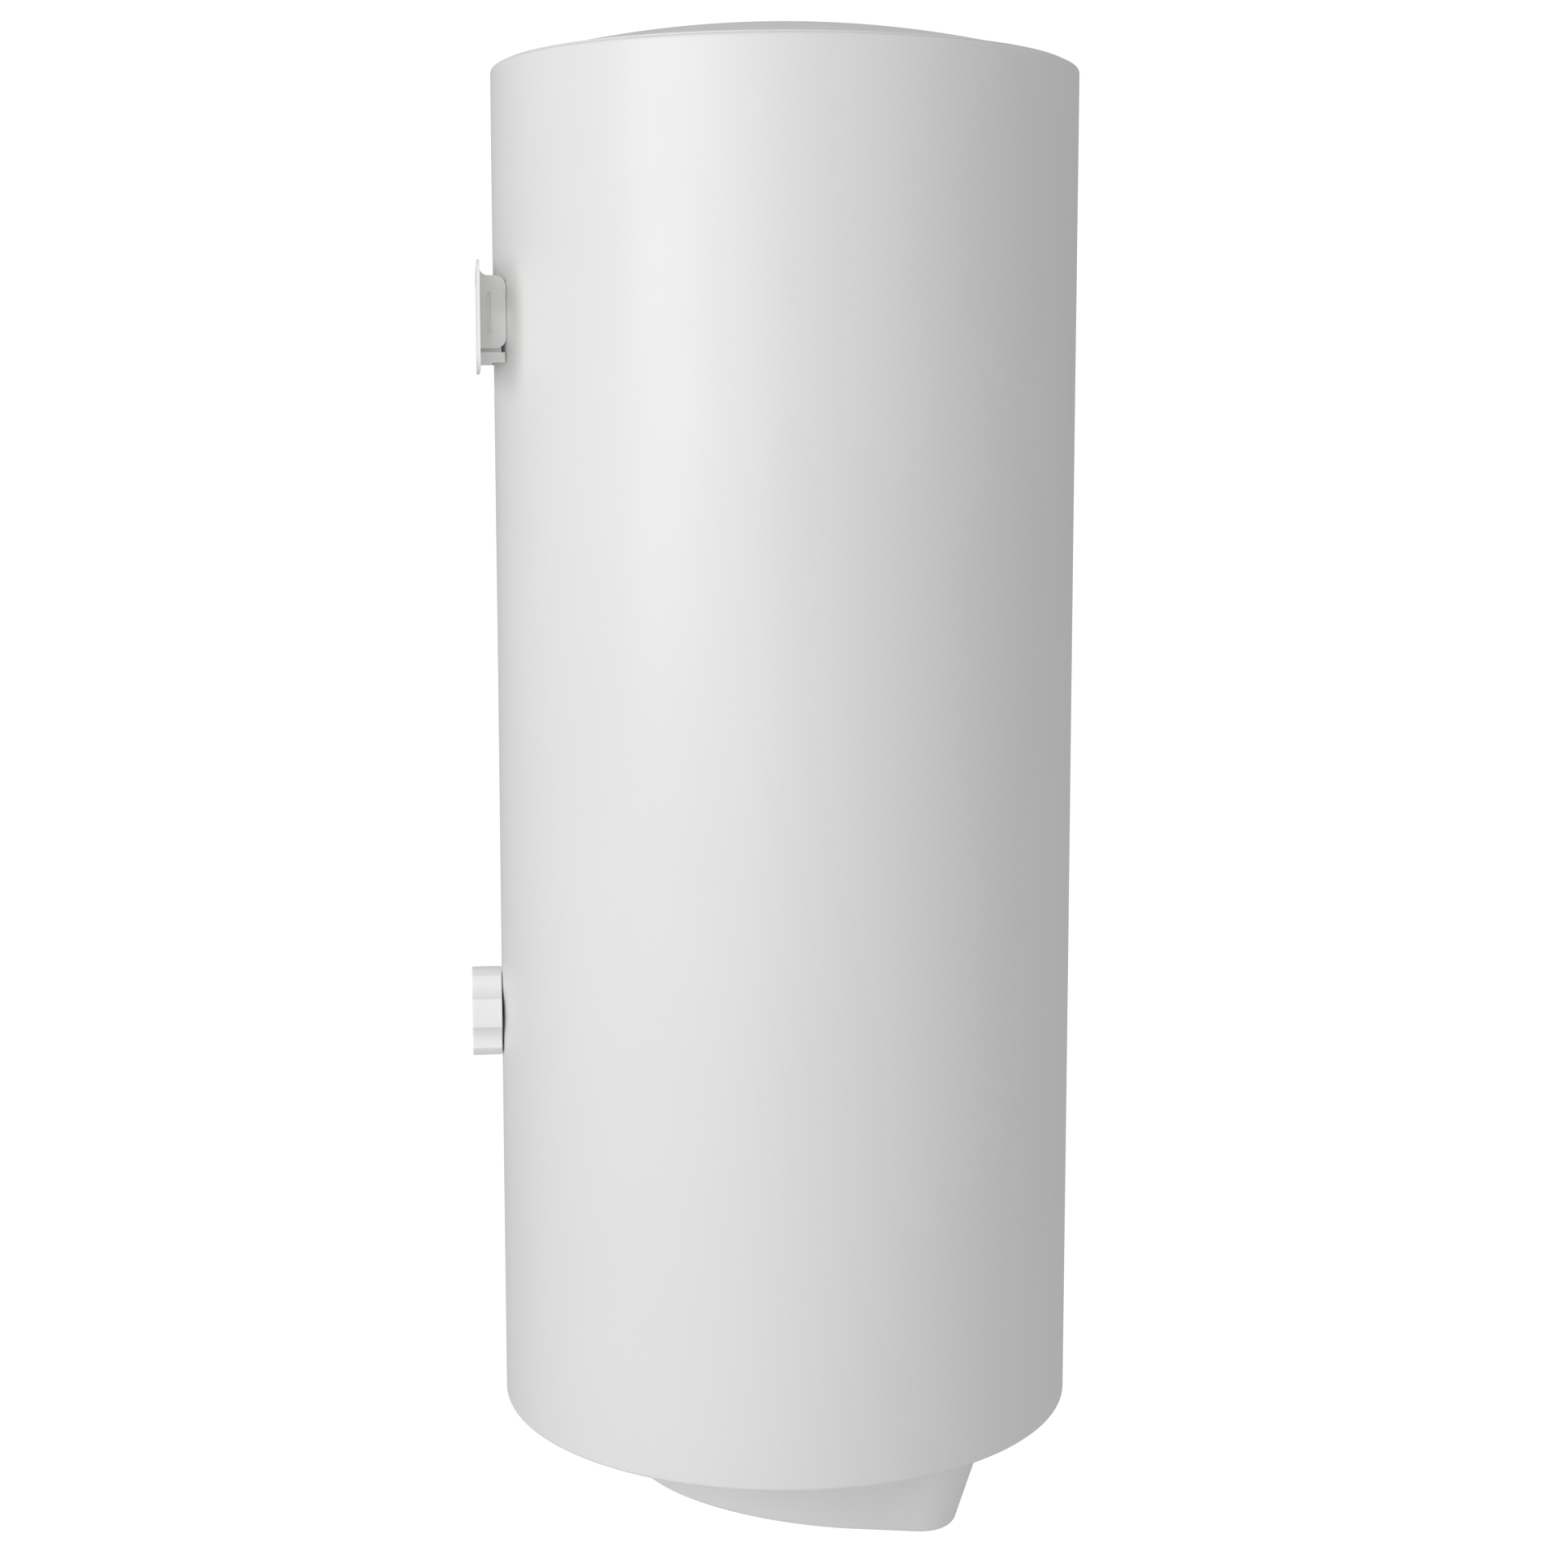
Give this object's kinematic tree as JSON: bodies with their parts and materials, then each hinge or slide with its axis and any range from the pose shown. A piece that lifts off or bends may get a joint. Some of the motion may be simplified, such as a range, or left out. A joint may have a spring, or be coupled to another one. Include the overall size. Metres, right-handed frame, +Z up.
{
  "type": "tank water heater",
  "caption": "Wall-hung vertical electric storage water heater: white cylindrical jacket, domed lid, service cover underneath, wall bracket and lobed stand-off knob on the back.",
  "frame": {"origin": "centre of the wall bracket's two slots, on the bracket face that lies against the wall fixings", "axes": "+Z up along the tank, +Y into the wall, -Y toward the room, +X to the right of someone facing the heater"},
  "size_m": [0.505, 0.531, 1.2995],
  "materials": {
    "jacket_paint": "satin",
    "bracket_paint": "satin",
    "cover_plastic": "satin",
    "knob_plastic": "satin",
    "foam": "matte",
    "tank_steel": "satin",
    "zinc_steel": "satin",
    "element_sheath": "satin",
    "copper": "satin",
    "brass": "satin",
    "magnesium": "matte",
    "gasket_rubber": "matte",
    "porcelain": "satin",
    "grey_plastic": "satin",
    "block_plastic": "satin",
    "dial_plastic": "gloss",
    "button_plastic": "gloss",
    "blue_plastic": "satin",
    "red_plastic": "satin",
    "gland_plastic": "satin",
    "brown_wire": "satin",
    "blue_wire": "satin",
    "earth_wire": "satin",
    "lamp_glass": "gloss",
    "lens": "gloss"
  },
  "bodies": {
    "heater": {"outer_jacket": "jacket_paint", "top_cover": "jacket_paint", "bottom_pan": "jacket_paint", "tank_shell": "tank_steel", "tank_top_end": "tank_steel", "tank_bottom_end": "tank_steel", "insulation_foam": "foam", "flange_collar": "tank_steel", "flange_gasket": "gasket_rubber", "flange_plate": "zinc_steel", "flange_studs": "zinc_steel", "flange_washers": "zinc_steel", "flange_nuts": "zinc_steel", "heating_element": "element_sheath", "element_insulators": "porcelain", "element_pins": "zinc_steel", "thermowell": "copper", "thermostat_rod": "brass", "thermostat_body": "grey_plastic", "terminal_links": "brass", "anode_rod": "magnesium", "anode_insulator": "block_plastic", "anode_stud": "zinc_steel", "anode_nut": "zinc_steel", "cold_inlet_pipe": "zinc_steel", "hot_outlet_pipe": "zinc_steel", "inlet_diffuser": "block_plastic", "cold_water_ring": "blue_plastic", "hot_water_ring": "red_plastic", "earth_stud": "brass", "earth_lug": "zinc_steel", "earth_nut": "brass", "terminal_bracket": "zinc_steel", "terminal_block": "block_plastic", "terminal_screws": "zinc_steel", "wire_clamps": "brass", "indicator_lamp": "lamp_glass", "wire_live": "brown_wire", "wire_neutral": "blue_wire", "wire_earth": "earth_wire", "pan_rivet_nuts": "zinc_steel", "wall_bracket": "bracket_paint", "bracket_bosses": "tank_steel", "bracket_bolts": "zinc_steel", "spacer_boss": "tank_steel"},
    "service_cover": {"electrical_cover": "cover_plastic", "cover_screws": "zinc_steel", "cable_gland": "gland_plastic", "gland_locknut": "gland_plastic", "indicator_lens": "lens"},
    "thermostat_dial": {"thermostat_dial": "dial_plastic"},
    "reset_button": {"cutout_reset_button": "button_plastic"},
    "spacer_stud": {"spacer_stud": "zinc_steel"},
    "spacer_knob": {"spacer_knob": "knob_plastic"}
  },
  "joints": [
    {"name": "cover_removal", "type": "slide", "parent": "heater", "child": "service_cover", "axis": [0, 0, -1], "range_m": [0, 0.2]},
    {"name": "thermostat_setting", "type": "hinge", "parent": "heater", "child": "thermostat_dial", "pos_m": [0.008, -0.253, -0.99], "axis": [0, 0, -1], "range_deg": [-135, 135]},
    {"name": "reset_press", "type": "slide", "parent": "heater", "child": "reset_button", "axis": [0, 0, 1], "range_m": [0, 0.0025], "stiffness_N_per_m": 400, "springref_m": -0.001},
    {"name": "spacer_advance", "type": "slide", "parent": "heater", "child": "spacer_stud", "axis": [0, 1, 0], "range_m": [0, 0.009]},
    {"name": "spacer_turn", "type": "hinge", "parent": "spacer_stud", "child": "spacer_knob", "pos_m": [0, 0, -0.605], "axis": [0, 1, 0], "range_deg": [0, 2160]}
  ],
  "couplings": [
    {"joint": "spacer_advance", "follows": "spacer_turn", "m_per_rad": 0.00023873}
  ]
}
